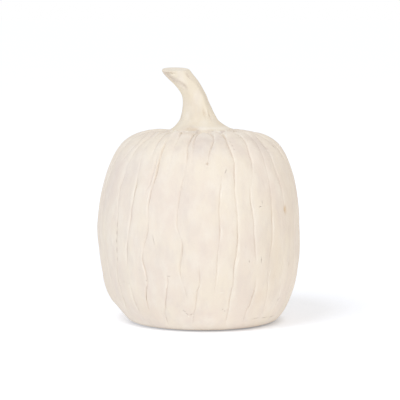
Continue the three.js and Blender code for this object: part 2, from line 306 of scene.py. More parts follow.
CLUSTER = [0, 0.24, 0.5, 0.95, 1.6]  # columns beside a furrow, in mm from its middle
CLUSTER_GAP = 2.5  # where less is left between two clusters, both draw together
RIB_COLUMNS = 7  # columns between the clusters
COLUMN_RADIUS = 24  # inside this radius the columns only draw together
ROW_PITCH = 2.3

RIB_END = {"height": 1.9, "start": -10, "crest": 1, "fall": 4.5, "foot": 11.5}  # mm past the crown's edge
RIB_END_STATURE = (0.6, 1.1)  # from the lowest to the highest
RIB_END_OVERRUN = (-1.5, 1.5)  # how much sooner they end
RIB_END_ROUND = 3.5  # how much sooner a rib ends at its sides
RIB_END_VALLEY = 0.6  # how much of the height is lost in the furrows between them
# painted highlight on the swollen rib ends round the collar
RIB_END_HIGHLIGHT = 0.5
COLLAR_FADE = 0.9  # how much of all relief fades out under the collar
FURROW_RISE = (2, 14)  # from there to there above the foot's edge, the furrows deepen
SWELL_RISE = (0, 6)  # and the undulation grows

SWEEP = 0.38  # heights of the broad, the middle and the small undulation
KNEAD = 0.16
SHIVER = 0.035


def back_furrow(azimuth, rng):
    """A furrow in the same hand as the front's, on the sides and the back."""
    heights = np.array(BACK_HEIGHTS, float)
    sway = unsteady(0, rng, heights, [(rng.uniform(0.8, 2.2), 16, 30)])
    shake = rng.normal(0, 0.35, len(heights))
    depths = rng.uniform(0.45, 1.15, len(heights))
    gap = rng.integers(3, 12)
    depths[gap : gap + rng.integers(1, 4)] = rng.uniform(0, 0.2)
    depths[[0, -1]] = 0.2, 0
    return list(zip(heights, azimuth + sway + shake, depths))


def all_furrows():
    rng = np.random.default_rng(SEED)
    pitch = (FIRST_AZIMUTH + 360 - LAST_AZIMUTH) / (BACK_FURROW_COUNT + 1)
    azimuths = LAST_AZIMUTH + pitch * (np.arange(BACK_FURROW_COUNT) + 1)
    azimuths = azimuths + rng.uniform(-1, 1, BACK_FURROW_COUNT)
    return FRONT_FURROWS + [back_furrow(azimuth, rng) for azimuth in azimuths]


# ---- The body ----

# Pits, dents and patches are given as spots() takes them.
IRON_SPOT = (57.9, 86.5, 1.5, 2.5)

PITS = [
    (5.2, 121.3, 0.65, 0.75, 1),
    (*IRON_SPOT, 1.1),
    (-48.5, 35, 0.8, 0.8, 0.5),
    (-44.5, 34, 0.5, 0.5, 0.4),
    (16.5, 17, 0.9, 0.7, 0.4),
    (-9.5, 104, 0.5, 0.7, 0.5),
]
STAINS = [  # iron in the clay
    (*IRON_SPOT, 1),
    (-16, 141.2, 5, 0.9, 0.2),
    (-10, 140.4, 4, 0.7, 0.15),
]

DENTS = [  # broad soft hollows, below 0 for a swelling
    (85, 138, 30, 6, 1.1),
    (-95, 108, 40, 18, 1.1),
    (-95, 52, 40, 12, 1),
    (-95, 8, 40, 9, 1.6),
    (95, 16, 40, 12, 1),
    (95, 100, 40, 16, -0.5),
    (95, 80, 40, 8, -0.4),
    (-95, 25, 40, 9, -0.6),
    (-95, 37, 40, 7, 0.7),
    (-95, 17, 40, 5, -0.8),
    (95, 40, 40, 18, -0.35),
    (-118, 144, 12, 5, -0.7),
    (48, 146, 14, 4, -0.7),
    (-70, 145, 18, 6, -1.6),
    (-110, 145, 14, 6, -0.9),
    (-46, 112, 7, 18, 0.5),
    (-46, 82, 6, 22, 0.35),
    (-26, 66, 7, 12, 0.45),
    (53, 131, 8, 7, 0.9),
    (41, 68, 6, 14, 0.5),
    (21.5, 53, 3.5, 9, 0.5),
    (-7, 60, 8, 26, 0.2),
    (2, 133, 5, 5, 0.5),
    (30, 130, 4, 6, 0.4),
]
GREY_PATCHES = [  # greyer patches
    (-46, 115, 7, 14, 0.8),
    (-45, 80, 6, 24, 0.8),
    (-24, 60, 6, 18, 0.7),
    (-7, 95, 5, 14, 0.6),
    (-8, 60, 7, 30, 0.6),
    (2, 132, 6, 6, 1),
    (17, 133, 3, 5, 0.9),
    (30, 130, 3, 5, 0.7),
    (53, 131, 8, 6, 1),
    (41, 68, 5, 16, 0.9),
    (-30, 125, 3, 6, 0.4),
    (-66, 98, 10, 28, 0.9),
    (150, 90, 9, 26, 0.7),
    (205, 60, 8, 24, 0.7),
    (110, 110, 7, 16, 0.6),
    (255, 100, 8, 22, 0.7),
]
BLUSHES = [  # warmer, peach patches
    (47, 55, 8, 36, 1),
    (62, 75, 9, 34, 0.7),
    (37, 25, 6, 20, 1),
    (-35, 12, 10, 8, 0.6),
    (130, 50, 9, 30, 0.8),
    (230, 70, 9, 34, 0.8),
]
PIT_DARKNESS = 1.6  # how strongly a pit is darkened: partly the clay showing in it, partly painted shade

SCRATCHES = [  # small dents by hand: (azimuth, height, half width, half length, lean to the right in degrees)
    (16.4, 116, 0.16, 2.4, 32),
    (25, 137.6, 0.3, 0.8, -40),
    (25.2, 135.4, 0.3, 0.8, -40),
    (25.4, 133, 0.3, 0.8, -40),
    (25.6, 130.5, 0.3, 0.8, -40),
    (57, 130.3, 0.9, 2.4, -54),
    (66.5, 130.4, 0.5, 2.4, -36),
    (38.6, 93.5, 0.2, 1.7, 0),
    (37, 90.4, 0.2, 1.6, 72),
    (-25.3, 67.7, 0.22, 5, -14),
    (37, 52.4, 0.4, 3.2, 0),
    (29, 52.1, 0.35, 1.3, 0),
    (62.4, 46.5, 0.45, 2.6, 0),
    (-51.1, 76, 0.3, 2.4, 0),
    (-51.3, 70.5, 0.35, 2.2, 0),
    (-51.5, 64.5, 0.3, 2.4, 0),
    (-51.6, 58, 0.35, 3, 0),
    (-51.8, 51, 0.3, 2.2, 0),
    (-16.8, 42.3, 0.35, 1.6, 90),
    (-31.4, 37.8, 0.45, 0.6, 0),
    (-31.8, 32.2, 0.45, 0.6, 0),
    (57.2, 21, 0.5, 1.8, 45),
    (13.5, 17.7, 0.35, 1.1, 45),
    (15, 16.5, 0.3, 0.9, -30),
    (-10.2, 16.9, 0.35, 1.6, -60),
    (-8.7, 14.6, 0.35, 1.3, -40),
    (-6.2, 14.2, 0.35, 1.6, 60),
    (39.1, 8.5, 0.3, 4, 84),
    (48, 8.1, 0.3, 4, 88),
    (57, 7.7, 0.3, 4, 88),
]
PALE_STROKES = [  # small pale strokes, given in the same way
    (-34.8, 129.2, 0.5, 0.9, 20),
    (-35, 127.1, 0.5, 0.8, 20),
    # these two are a painted highlight along a soft ridge
    (22.8, 62, 0.8, 4.5, 0),
    (22, 52, 0.9, 6.5, 16),
    (43.9, 42.2, 0.6, 3.4, 14),
    (55.1, 34.8, 0.6, 4, 0),
    (12.8, 30.3, 0.5, 1.9, 90),
    (-9.3, 14.2, 0.7, 0.8, 0),
    (-8, 12.6, 0.8, 0.9, 0),
    (-5, 13.4, 0.7, 0.7, 0),
]

PROFILE_STEPS = 400  # points on each of the outside's two curves


def outer_profile():
    """The outside as points (radius, height), from the foot's edge over the crown to the stem."""
    foot = (FOOT_RADIUS, FOOT_HEIGHT)
    belly = (BELLY_RADIUS, BELLY_HEIGHT)
    crown = (CROWN_FLAT_RADIUS, CROWN_HEIGHT)
    rise = [(FOOT_RADIUS + 4, FOOT_HEIGHT), (BELLY_RADIUS - 0.5, BELLY_HEIGHT - 49)]
    shoulder = [(BELLY_RADIUS, BELLY_HEIGHT + 23), (BELLY_RADIUS - 5, CROWN_HEIGHT)]
    lower = bezier([foot, *rise, belly], PROFILE_STEPS)
    upper = bezier([belly, *shoulder, crown], PROFILE_STEPS)
    across = np.arange(CROWN_FLAT_RADIUS - 0.5, CROWN_INNER_RADIUS, -0.5)
    flat = np.stack([across, np.full(across.shape, CROWN_HEIGHT)], -1)
    return np.vstack([lower, upper[1:], flat])


PROFILE = outer_profile()
PROFILE_LENGTH = np.concatenate([[0], np.cumsum(np.linalg.norm(np.diff(PROFILE, axis=0), axis=1))])
SIDE_RADII, SIDE_HEIGHTS = PROFILE[: 2 * PROFILE_STEPS - 1].T  # the outside below the crown's flat
SIDE_LENGTHS = PROFILE_LENGTH[: 2 * PROFILE_STEPS - 1]
CROWN_EDGE = np.interp(CROWN_HEIGHT - 1e-6, SIDE_HEIGHTS, SIDE_LENGTHS)


def along_profile(height):
    """How far up the profile a height is. Past the crown's height it runs on inwards."""
    height = np.asarray(height, float)
    side = np.interp(height, SIDE_HEIGHTS, SIDE_LENGTHS)
    return np.where(height > CROWN_HEIGHT, CROWN_EDGE + height - CROWN_HEIGHT, side)


def slump(z):
    """How far to the right the body's middle stands at a height."""
    up = np.clip((z - BELLY_HEIGHT) / (CROWN_HEIGHT - BELLY_HEIGHT), 0, 1)
    down = np.clip((BELLY_HEIGHT - z) / BELLY_HEIGHT, 0, 1)
    return SLUMP_CROWN * up**2 + SLUMP_FOOT * down**2


def body_rows():
    """Where the rows run, closer together across the pits."""
    rows = np.arange(0, PROFILE_LENGTH[-1], ROW_PITCH)
    for _azimuth, height, _half_width, half_height, _depth in PITS:
        middle = along_profile(height)
        near = np.abs(rows - middle) < 2 * half_height + 0.4 * ROW_PITCH
        extra = middle + np.linspace(-2, 2, 9) * half_height
        rows = np.sort(np.concatenate([rows[~near], extra]))
    return rows


def body_columns(azimuths, radius):
    """The columns' azimuths on one row, with the distances to the furrows on their left and right."""
    following = np.append(azimuths[1:], azimuths[0] + 360)
    width = np.radians(following - azimuths) * radius
    reach = np.minimum(1, width / (2 * CLUSTER[-1] + CLUSTER_GAP))
    near = np.array(CLUSTER)[None, :] * reach[:, None]
    left_edge = near[:, -1:]
    middle = np.linspace(0, 1, RIB_COLUMNS + 2)[1:-1][None, :]
    between = left_edge + (width[:, None] - 2 * left_edge) * middle
    far = width[:, None] - near[:, :0:-1]
    from_left = np.hstack([near, between, far])
    azimuth = azimuths[:, None] + (following - azimuths)[:, None] * from_left / width[:, None]
    return azimuth, from_left, width[:, None] - from_left, width


def cut(distance, easy, rib_width, broad):
    """How deep one side of a full furrow is: its wall, and the soft valleys round it."""
    wall = CUT_DEPTH * bell(distance, STEEP_SIDE + easy * (EASY_SIDE - STEEP_SIDE))
    valley = VALLEY["depth"] * bell(distance, VALLEY["half_width"])
    return wall + (valley + broad * bell(distance, BROAD_VALLEY_SHARE * rib_width))


def body_spots(table, azimuth, height):
    """A table's soft spots on the body, which narrows towards its crown."""
    return spots(table, azimuth, height, BELLY_RADIUS * np.interp(height, [100, 140], [1, 0.6]))


def follow_furrows(rng, rows, furrows):
    """Every furrow's azimuth and depth along the rows, and how much burr stands beside it."""
    paths, depths, burrs = [], [], []
    for number, furrow in enumerate(furrows):
        knots, azimuths, amounts = np.array(sorted(furrow), float).T
        where = along_profile(knots)
        paths.append(eased(smooth_through(rows, where, azimuths)) + unsteady(0, rng, rows, PATH_WAVES))
        uneven = unsteady(1, rng, rows, DEPTH_WAVES)
        depths.append(np.clip(smooth_through(rows, where, amounts), 0, 2) * uneven)
        least = BOLD["burr"] if number in BOLD["furrows"] else 0
        burrs.append(np.clip(unsteady(BURR_MEAN, rng, rows, BURR_WAVES), least, BURR_MOST))
    return np.array(paths), np.array(depths), np.array(burrs)


def rib_end(past, azimuth, across, width):
    """How far a rib stands up round the collar: most at the front and in the rib's middle."""
    end = past + RIB_END_ROUND * across**2
    swollen = smoothstep(end, RIB_END["start"], RIB_END["crest"])
    swollen *= 1 - smoothstep(end, RIB_END["fall"], RIB_END["foot"])
    swollen *= (1 - RIB_END_VALLEY * across**4) * np.clip(width / 7, 0.3, 1)
    return swollen * np.clip(0.3 + 1.4 * np.cos(np.radians(azimuth)), 0.2, None)


def body_surface():
    """The outside's points, and how far each one is in a furrow's line, for painted shade, or on a burr's
    crest, for a painted highlight.
    """
    rng = np.random.default_rng(SEED + 1)
    sweep = Ripple(rng, 55, stretch=(1, 1, 1.6))
    knead = Ripple(rng, 22, stretch=(1, 1, 2.2))
    shiver = Ripple(rng, 9)
    furrows = all_furrows()
    rows = body_rows()
    radius = np.interp(rows, PROFILE_LENGTH, PROFILE[:, 0])
    height = np.interp(rows, PROFILE_LENGTH, PROFILE[:, 1])
    slope_r = np.gradient(radius, rows)
    slope_z = np.gradient(height, rows)
    size = np.hypot(slope_r, slope_z)
    out_r, out_z = slope_z / size, -slope_r / size

    past = rows - CROWN_EDGE
    fade = 1 - COLLAR_FADE * smoothstep(past, RIB_END["fall"] + 3, RIB_END["foot"] + 1)
    stature = rng.uniform(*RIB_END_STATURE, len(furrows))[:, None]
    overrun = rng.uniform(*RIB_END_OVERRUN, len(furrows))[:, None]
    paths, depths, burrs = follow_furrows(rng, rows, furrows)
    broad = np.interp(height, *BROAD_VALLEY)

    points, hollow, crest = [], [], []
    for row in range(len(rows)):
        azimuth, from_left, from_right, width = body_columns(paths[:, row], max(radius[row], COLUMN_RADIUS))
        width = width[:, None]
        easy = 0.5 + 0.5 * np.clip(np.sin(np.radians(paths[:, row])) * 8, -1, 1)
        left = depths[:, row], burrs[:, row], easy
        right = np.roll([depths[:, row], burrs[:, row], 1 - easy], -1, axis=1)
        burr_and_highlight, painted_shade, cuts = 0, 0, []
        for distance, (depth, burr, ease) in ((from_left, left), (from_right, right)):
            depth, burr, ease = depth[:, None], burr[:, None], ease[:, None]
            # the burr's shape, which also gives the painted highlight beside the furrow
            burr_and_highlight = burr_and_highlight + depth * ease * burr * bell(distance - BURR_DISTANCE, BURR_HALF_WIDTH)
            # painted shade along the furrow's line
            painted_shade = painted_shade + depth * bell(distance, SHADE_LINE_WIDTH)
            cuts.append(depth * cut(distance, ease, width, broad[row]))
        swollen = stature * rib_end(past[row] + overrun, azimuth, (from_left - from_right) / width, width)
        relief = BURR_HEIGHT * burr_and_highlight - cuts[0] - cuts[1] + RIB_END["height"] * swollen
        # the rib ends get a painted highlight as well
        burr_and_highlight = burr_and_highlight + RIB_END_HIGHLIGHT * swollen

        azimuth = azimuth.ravel()
        plain = circle(radius[row], azimuth, height[row])
        pitted = body_spots(PITS, azimuth, height[row])
        swell = SWEEP * sweep(plain) + KNEAD * knead(plain) + SHIVER * shiver(plain)
        swell -= pitted + body_spots(DENTS, azimuth, height[row])
        moved = relief.ravel() * smoothstep(rows[row], *FURROW_RISE)
        moved = fade[row] * (moved + swell * smoothstep(rows[row], *SWELL_RISE))
        z = height[row] + moved * out_z[row]
        points.append(circle(radius[row] + moved * out_r[row], azimuth, z, slump(z)))
        # painted shade along the furrows, and the pits' darkening
        hollow.append(painted_shade.ravel() + PIT_DARKNESS * pitted)
        # painted highlights
        crest.append(burr_and_highlight.ravel())
    return np.array(points), np.array(hollow), np.array(crest)


def hidden_sections():
    """Sections of what the outside hides: the base with its recess, and the vent with the cavity."""
    floor = FOOT_HEIGHT + RECESS_DEPTH
    bottom, ceiling = floor + WALL, CROWN_HEIGHT - WALL
    hole, inner = POUR_HOLE_RADIUS, BELLY_RADIUS - WALL
    foot_ring = [(RECESS_RADIUS, floor), (RECESS_RADIUS, FOOT_HEIGHT), (FOOT_RADIUS - 0.5, FOOT_HEIGHT)]
    under = filleted([(hole, floor + WALL / 2), (hole, floor), *foot_ring], radius=0.9)
    crown, vent = (CROWN_INNER_RADIUS - 1, CROWN_HEIGHT), (VENT_RADIUS, CROWN_HEIGHT)
    throat = filleted([crown, vent, (VENT_RADIUS, ceiling), (CROWN_FLAT_RADIUS, ceiling)], radius=0.8)
    shoulder = [(CROWN_FLAT_RADIUS, ceiling), (BELLY_RADIUS - 10, ceiling)]
    upper = bezier([*shoulder, (inner, BELLY_HEIGHT + 20), (inner, BELLY_HEIGHT)], 6)[1:]
    heel = [(FOOT_RADIUS + 4, bottom), (FOOT_RADIUS - WALL, bottom)]
    lower = bezier([(inner, BELLY_HEIGHT), (inner, BELLY_HEIGHT - 43), *heel], 6)[1:]
    brink = filleted([(hole + 6, bottom), (hole, bottom), (hole, floor + WALL / 2 + 0.4)], radius=0.9)
    return under, np.vstack([throat, upper, lower, brink])


def build_body():
    outside, hollow, crest = body_surface()
    height = outside[..., 2]
    azimuth = np.degrees(np.arctan2(outside[..., 0] - slump(height), -outside[..., 1]))
    values = {"hollow": hollow, "crest": crest}
    for attribute, table in (("grey_and_painted_shade", GREY_PATCHES), ("blush", BLUSHES), ("stain", STAINS)):
        values[attribute] = np.clip(body_spots(table, azimuth, height), 0, 1)

    def plain_rings(section, azimuths):
        return np.array([circle(radius, azimuths, z, slump(z)) for radius, z in section])

    under, within = hidden_sections()
    below = plain_rings(under, azimuth[0])
    rings = np.vstack([below, outside, plain_rings(within, azimuth[-1])])
    coated = slice(len(below), len(below) + len(outside))
    for attribute, amounts in values.items():
        values[attribute] = np.zeros(rings.shape[:2])
        values[attribute][coated] = amounts
    values["bare"] = np.ones(rings.shape[:2])
    values["bare"][coated] = 1 - smoothstep(height, 0.6, 2.2)
    values["bare"][coated.stop : coated.stop + 3] = 0  # the coat runs on a little way under the stem
    return ring_mesh("Body", rings, joined=True, values=values)


# ---- The stem ----

STEM_EDGES = [  # (height, left edge, right edge, half the depth)
    (141.4, -20.6, 25.2, 22.2), (142.6, -19.2, 23.2, 20.8), (145, -16.7, 18.9, 18),
    (148, -14.3, 15.1, 15.2), (152, -13.1, 13.1, 13), (157, -12.3, 11, 11.2), (162, -12, 8.7, 9.9),
    (167, -12.7, 6.9, 9.2), (171, -14.9, 4.6, 8.8), (175, -18.3, 1.9, 8.7), (179, -22.7, -1.1, 8.8),
    (183, -26.5, -4.2, 9), (186, -27.8, -6.2, 9),
]
STEM_TOP = 186
STEM_TOP_TILT = 8  # degrees, towards the front
STEM_TILT_START = 172
STEM_RIM = 1.3  # rounding of the cut end's edge
STEM_DISH = 0.2
STEM_DISH_SHARES = (0.25, 0.45, 0.6, 0.72, 0.84, 0.94)  # its rings, as shares of the way in
STEM_AROUND = 220
STEM_FLARE_TOP = 150
STEM_FLARE_PITCH = 0.7
STEM_PITCH = 0.5
STEM_SWAY = 0.3  # heights of the broad and the small undulation
STEM_KNEAD = 0.12
STEM_GIRTH = 11  # its radius, as the marks take it
STEM_SKIRT = (141, 144)  # between these heights the undulation grows
STEM_RIDGE_RISE = (146, 156)  # and the ridges
STEM_RIDGES = [  # (azimuth at the foot, azimuth at the top, height, half width in degrees)
    (30, 40, 0.7, 11),
    (-20, -14, 0.35, 14),
    (-82, -70, 0.4, 16),
    (150, 140, 0.6, 14),
    (205, 215, 0.5, 16),
]
# dents in the stem, which also darken its coat as painted shade
STEM_DENTS = [
    (-52, 183, 3.6, 1, 1.1),
    (-24, 183.7, 3.4, 0.8, 1),
    (-45, 178, 3.4, 4, 0.8),
    (-56, 180.6, 3.4, 1.6, 0.7),
    (-20, 174, 2, 3, 1.2),
    (39, 181, 1.1, 2.6, 1.1),
    (23.5, 154, 0.8, 2.8, 1.2),
    (41, 152.6, 0.8, 3, 1.2),
    (68, 166, 2.4, 9, 0.5),
    (-7, 143, 1.2, 0.7, 0.9),
    (-15, 142.2, 1.4, 0.6, 0.9),
    (-20, 144.2, 1.2, 0.8, 0.8),
    (-28, 142.8, 1, 0.6, 0.8),
    (26, 143.6, 1.8, 0.7, 0.6),
    (120, 168, 3, 6, 0.7),
    (200, 160, 4, 8, 0.6),
    (-120, 176, 3, 5, 0.7),
]
STEM_PAINTED_SHADE = [  # where the stem is painted darker: painted shade under the cut end's rim, under the hook and down its sides, and a darker blotch by the foot
    (-45, 179, 5, 4, 1),
    (-22, 174, 2.2, 3, 1),
    (-70, 183, 3, 2, 0.8),
    (42, 180.5, 1.6, 3, 0.8),
    (65, 165, 4, 10, 0.5),
    (-85, 158, 2, 12, 0.5),
    (-58, 180.6, 4.5, 2.4, 1),
    (-17, 143.4, 4.5, 1.8, 1.4),
]
STEM_HIGHLIGHTS = [  # and where it is painted pale, as painted highlights
    (50, 143.2, 14, 1.4, 1),
    (14, 143, 6, 0.9, 0.9),
    (34, 155, 1, 3.4, 0.9),
    (10, 168, 4, 10, 0.3),
]
STEM_STAINS = [  # and where clay shows through
    (-17, 141.9, 2.6, 0.7, 0.4),
    (-11, 143.1, 1.3, 0.6, 0.45),
    (-23, 143.2, 1.6, 0.8, 0.35),
    (20, 142.3, 1.6, 0.6, 0.35),
]
STEM_UNDERSIDE = [  # (radius, height), down the hollow and out along the seat
    (1.5, 157.4), (4, 156), (6, 153.8), (7.6, 148), (9, 142.8), (9, 141.5), (9.4, 141), (10.5, 140.8),
    (15, STEM_SEAT), (20, STEM_SEAT), (22.3, STEM_SEAT + 0.1),
]


def build_stem():
    rng = np.random.default_rng(SEED + 2)
    sway = Ripple(rng, 26, stretch=(1, 1, 1.8))
    knead = Ripple(rng, 9, stretch=(1, 1, 2.4))
    azimuth = np.linspace(-180, 180, STEM_AROUND, endpoint=False)
    sine, cosine = np.sin(np.radians(azimuth)), -np.cos(np.radians(azimuth))
    heights, *edges = np.array(STEM_EDGES, float).T

    def ring(z, inset=0, drop=0, relief=1):
        """One level ring, leaning with the cut end near the top."""
        left, right, deep = (smooth_through(z, heights, edge) for edge in edges)
        half, middle = (right - left) / 2, (left + right) / 2
        share = (z - heights[0]) / (STEM_TOP - heights[0])
        plain = np.stack([middle + half * sine, deep * cosine, np.full(sine.shape, float(z))], -1)
        moved = smoothstep(z, *STEM_SKIRT) * (STEM_SWAY * sway(plain) + STEM_KNEAD * knead(plain))
        for foot, top, height, width in STEM_RIDGES:
            turn = (azimuth - foot - (top - foot) * share + 180) % 360 - 180
            moved += height * smoothstep(z, *STEM_RIDGE_RISE) * (bell(turn, width) - 0.25)
        moved -= spots(STEM_DENTS, azimuth, z, (half + deep) / 2)
        moved *= relief
        x = middle + (half - inset + moved) * sine
        y = (deep - inset + moved) * cosine
        tilt = math.tan(math.radians(STEM_TOP_TILT)) * smoothstep(z, STEM_TILT_START, STEM_TOP)
        return np.stack([x, y, z - drop + y * tilt], -1)

    rings = [circle(radius, azimuth, z, STEM_X) for radius, z in STEM_UNDERSIDE]
    rings += [ring(z) for z in np.arange(heights[0], STEM_FLARE_TOP, STEM_FLARE_PITCH)]
    rings += [ring(z) for z in np.arange(STEM_FLARE_TOP, STEM_TOP - STEM_RIM, STEM_PITCH)]
    for turn in np.radians(np.arange(0, 91, 15)):
        rings.append(ring(STEM_TOP - STEM_RIM * (1 - math.sin(turn)), inset=STEM_RIM * (1 - math.cos(turn))))
    for share in STEM_DISH_SHARES:
        inset = STEM_RIM + (STEM_EDGES[-1][3] - STEM_RIM) * share
        drop = STEM_DISH * smoothstep(share, 0, 0.6)
        rings.append(ring(STEM_TOP, inset=inset, drop=drop, relief=1 - share))
    rings = np.array(rings)
    # the dents are also painted shade in the coat, and the pale spots painted highlights
    tables = {"hollow": STEM_DENTS, "grey_and_painted_shade": STEM_PAINTED_SHADE, "crest": STEM_HIGHLIGHTS, "stain": STEM_STAINS}
    values = {name: spots(table, azimuth, rings[..., 2], STEM_GIRTH) for name, table in tables.items()}
    values["crest"][-len(STEM_DISH_SHARES) - 1 :] = 1  # the cut end is painted pale all over, a painted highlight on its top face
    values["bare"] = np.zeros(rings.shape[:2])
    values["bare"][: len(STEM_UNDERSIDE)] = 1
    return ring_mesh("Stem", rings, values=values)


# ---- The lute: slip between the stem's foot and the crown, smeared out into a collar ----

LUTE_INNER = 9
LUTE_SEAT = 22.4  # the radius of the stem's foot in it
LUTE_EDGE = 25.2  # how far out the smeared collar reaches on average
LUTE_UNEVENNESS = 0.8
LUTE_AROUND = 300
LUTE_SKIN = 140  # above this height the smears have relief
LUTE_SMEARS = [(0.2, 7, 9), (0.15, 17, -14)]  # (height, waves round, radians they turn on the way out)
LUTE_SECTION = [  # (how far out, from the stem's seat at 0 to the collar's edge at 1; height)
    (0, 141.9), (0.15, 141.8), (0.35, 141.4), (0.6, 140.9), (0.8, 140.5), (0.95, 140.1), (1, 139.7),
    (0.95, 139.2), (0.8, 138.9), (0.3, 138.9),
]
LUTE_HIDDEN = [  # (radius, height) between the crown and the stem
    (14, LUTE_LOW[2]), (LUTE_INNER, LUTE_LOW[2]), (LUTE_INNER, STEM_SEAT), (16, STEM_SEAT - 0.02),
]
LUTE_STAINS = [  # where clay shows through the slip: (azimuth, radius, size, share)
    (-8, 24, 1.1, 0.9),
    (-14, 23.4, 1.5, 0.7),
    (-4, 23.4, 0.8, 0.5),
    (20, 23.8, 1, 0.8),
]
SWIRL = {"azimuth": -7, "radius": 24.2, "size": 1.7, "height": 0.8}


def build_lute():
    rng = np.random.default_rng(SEED + 3)
    azimuth = np.linspace(-180, 180, LUTE_AROUND, endpoint=False)
    angle = np.radians(azimuth)
    edge = np.full(angle.shape, LUTE_EDGE)
    for waves in (2, 3, 5, 8, 13):
        reach = rng.uniform(0.3, 0.8) * LUTE_UNEVENNESS / waves**0.5
        edge += reach * np.sin(waves * angle + rng.uniform(0, 2 * np.pi))

    def away(radius, spot_azimuth, spot_radius):
        """How far a ring's points are from a spot on the collar."""
        return np.hypot(np.radians(azimuth - spot_azimuth) * radius, radius - spot_radius)

    rings, stains = [], []
    for share, z in LUTE_SECTION:
        radius = LUTE_SEAT + (edge - LUTE_SEAT) * share
        height = np.full(angle.shape, float(z))
        if z > LUTE_SKIN:
            height += sum(high * np.sin(waves * angle + turn * share) for high, waves, turn in LUTE_SMEARS)
            swirl = away(radius, SWIRL["azimuth"], SWIRL["radius"])
            height += SWIRL["height"] * (bell(swirl, SWIRL["size"]) - 0.5 * bell(swirl, SWIRL["size"] * 0.35))
        rings.append(circle(radius, azimuth, height, STEM_X))
        stains.append(sum(amount * bell(away(radius, *spot), size) for *spot, size, amount in LUTE_STAINS))
    rings += [circle(radius, azimuth, z, STEM_X) for radius, z in LUTE_HIDDEN]
    stains += [np.zeros(angle.shape)] * len(LUTE_HIDDEN)
    values = {"stain": np.array(stains)[::-1]}
    return ring_mesh("Stem_lute", np.array(rings)[::-1], joined=True, values=values)


# ---- The pads and their adhesive films ----

PAD_AROUND = 96
FELT_EDGE = {"rounding": 0.5, "unevenness": 0.25}
FILM_EDGE = {"rounding": 0.1, "unevenness": 0.15}
ROUNDING_TURNS = (0, 22.5, 45, 67.5, 90)


def build_disc(name, node, rng, rounding, unevenness):
    """A punched disc, with the rounded and slightly uneven edge of its material."""
    low, high = node_box(node)
    middle, radius = (low + high) / 2, (high[0] - low[0]) / 2
    angle = np.linspace(0, 2 * np.pi, PAD_AROUND, endpoint=False)
    rim = np.zeros(angle.shape)
    for waves in (3, 7, 19, 31):
        rim += np.sin(waves * angle + rng.uniform(0, 2 * np.pi)) * unevenness / 4
    section = [(radius * share, low[2]) for share in (0.1, 0.4, 0.7, 0.9)]
    for start, turn in ((low[2] + rounding, -90), (high[2] - rounding, 0)):
        for further in ROUNDING_TURNS:
            around = math.radians(turn + further)
            section.append((radius - rounding * (1 - math.cos(around)), start + rounding * math.sin(around)))
    section += [(radius * share, high[2]) for share in (0.9, 0.7, 0.4, 0.1)]
    rings = []
    for r, z in section:
        size = r + (rim - unevenness) * smoothstep(r / radius, 0.85, 0.97)
        x, y = middle[0] + size * np.cos(angle), middle[1] + size * np.sin(angle)
        rings.append(np.stack([x, y, np.full(angle.shape, z)], -1))
    return ring_mesh(name, np.array(rings))


# ---- Materials ----

STROKE_REACH = 5  # how far in and out of the surface a stroke is looked for


